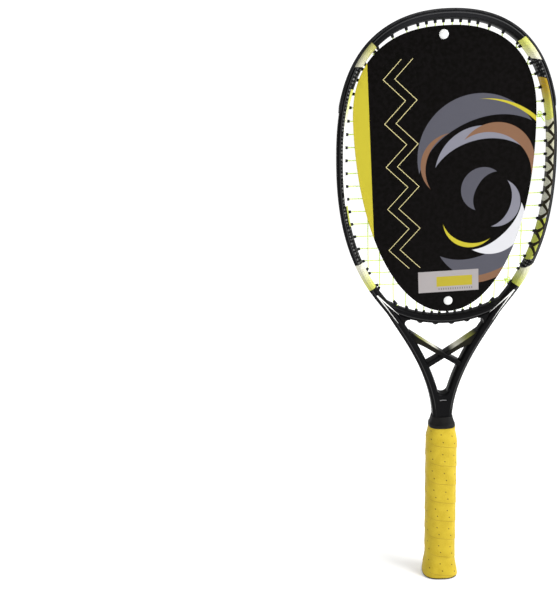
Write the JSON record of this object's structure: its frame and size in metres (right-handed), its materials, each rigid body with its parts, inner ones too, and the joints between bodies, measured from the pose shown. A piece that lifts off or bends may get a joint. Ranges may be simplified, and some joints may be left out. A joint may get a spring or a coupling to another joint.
{
  "type": "crossminton racket",
  "caption": "Strung racket with a teardrop head, open braced throat, perforated spiral grip and a card snapped to the strings.",
  "frame": {"origin": "centre of the flat face of the butt", "axes": "+Z from the butt to the tip of the head, -Y out of the face that carries the card, +X to the right as seen from that side"},
  "size_m": [0.217, 0.0332, 0.605],
  "materials": {
    "frame_paint": "painted and clear-coated carbon composite, satin gloss",
    "trim_plastic": "moulded nylon, satin",
    "string_nylon": "drawn nylon, glossy",
    "grip_tape": "perforated polyurethane-faced felt, matt",
    "cushion_tape": "felt tape, matt",
    "handle_foam": "rigid foam",
    "collar_rubber": "soft rubber, matt",
    "card_board": "printed and laminated board, satin",
    "rivet_plastic": "moulded white plastic, satin"
  },
  "bodies": {
    "racket": {"frame_crown": "frame_paint", "frame_side_left": "frame_paint", "frame_side_right": "frame_paint", "frame_fork": "frame_paint", "throat_bridge": "frame_paint", "brace_strut_front": "frame_paint", "brace_strut_back": "frame_paint", "bumper_guard": "trim_plastic", "grommet_strip_left": "trim_plastic", "grommet_strip_right": "trim_plastic", "grommet_strip_throat": "trim_plastic", "butt_cap": "trim_plastic", "main_string": "string_nylon", "cross_string": "string_nylon", "overgrip": "grip_tape", "base_grip": "cushion_tape", "handle_foam": "handle_foam", "grip_collar": "collar_rubber", "card_retainer_top": "rivet_plastic", "card_retainer_bottom": "rivet_plastic"},
    "card": {"display_card": "card_board", "card_rivet_top": "rivet_plastic", "card_rivet_bottom": "rivet_plastic"}
  },
  "joints": [
    {"name": "card_pull", "type": "slide", "parent": "racket", "child": "card", "axis": [0, -1, 0], "range_m": [0, 0.06]}
  ]
}
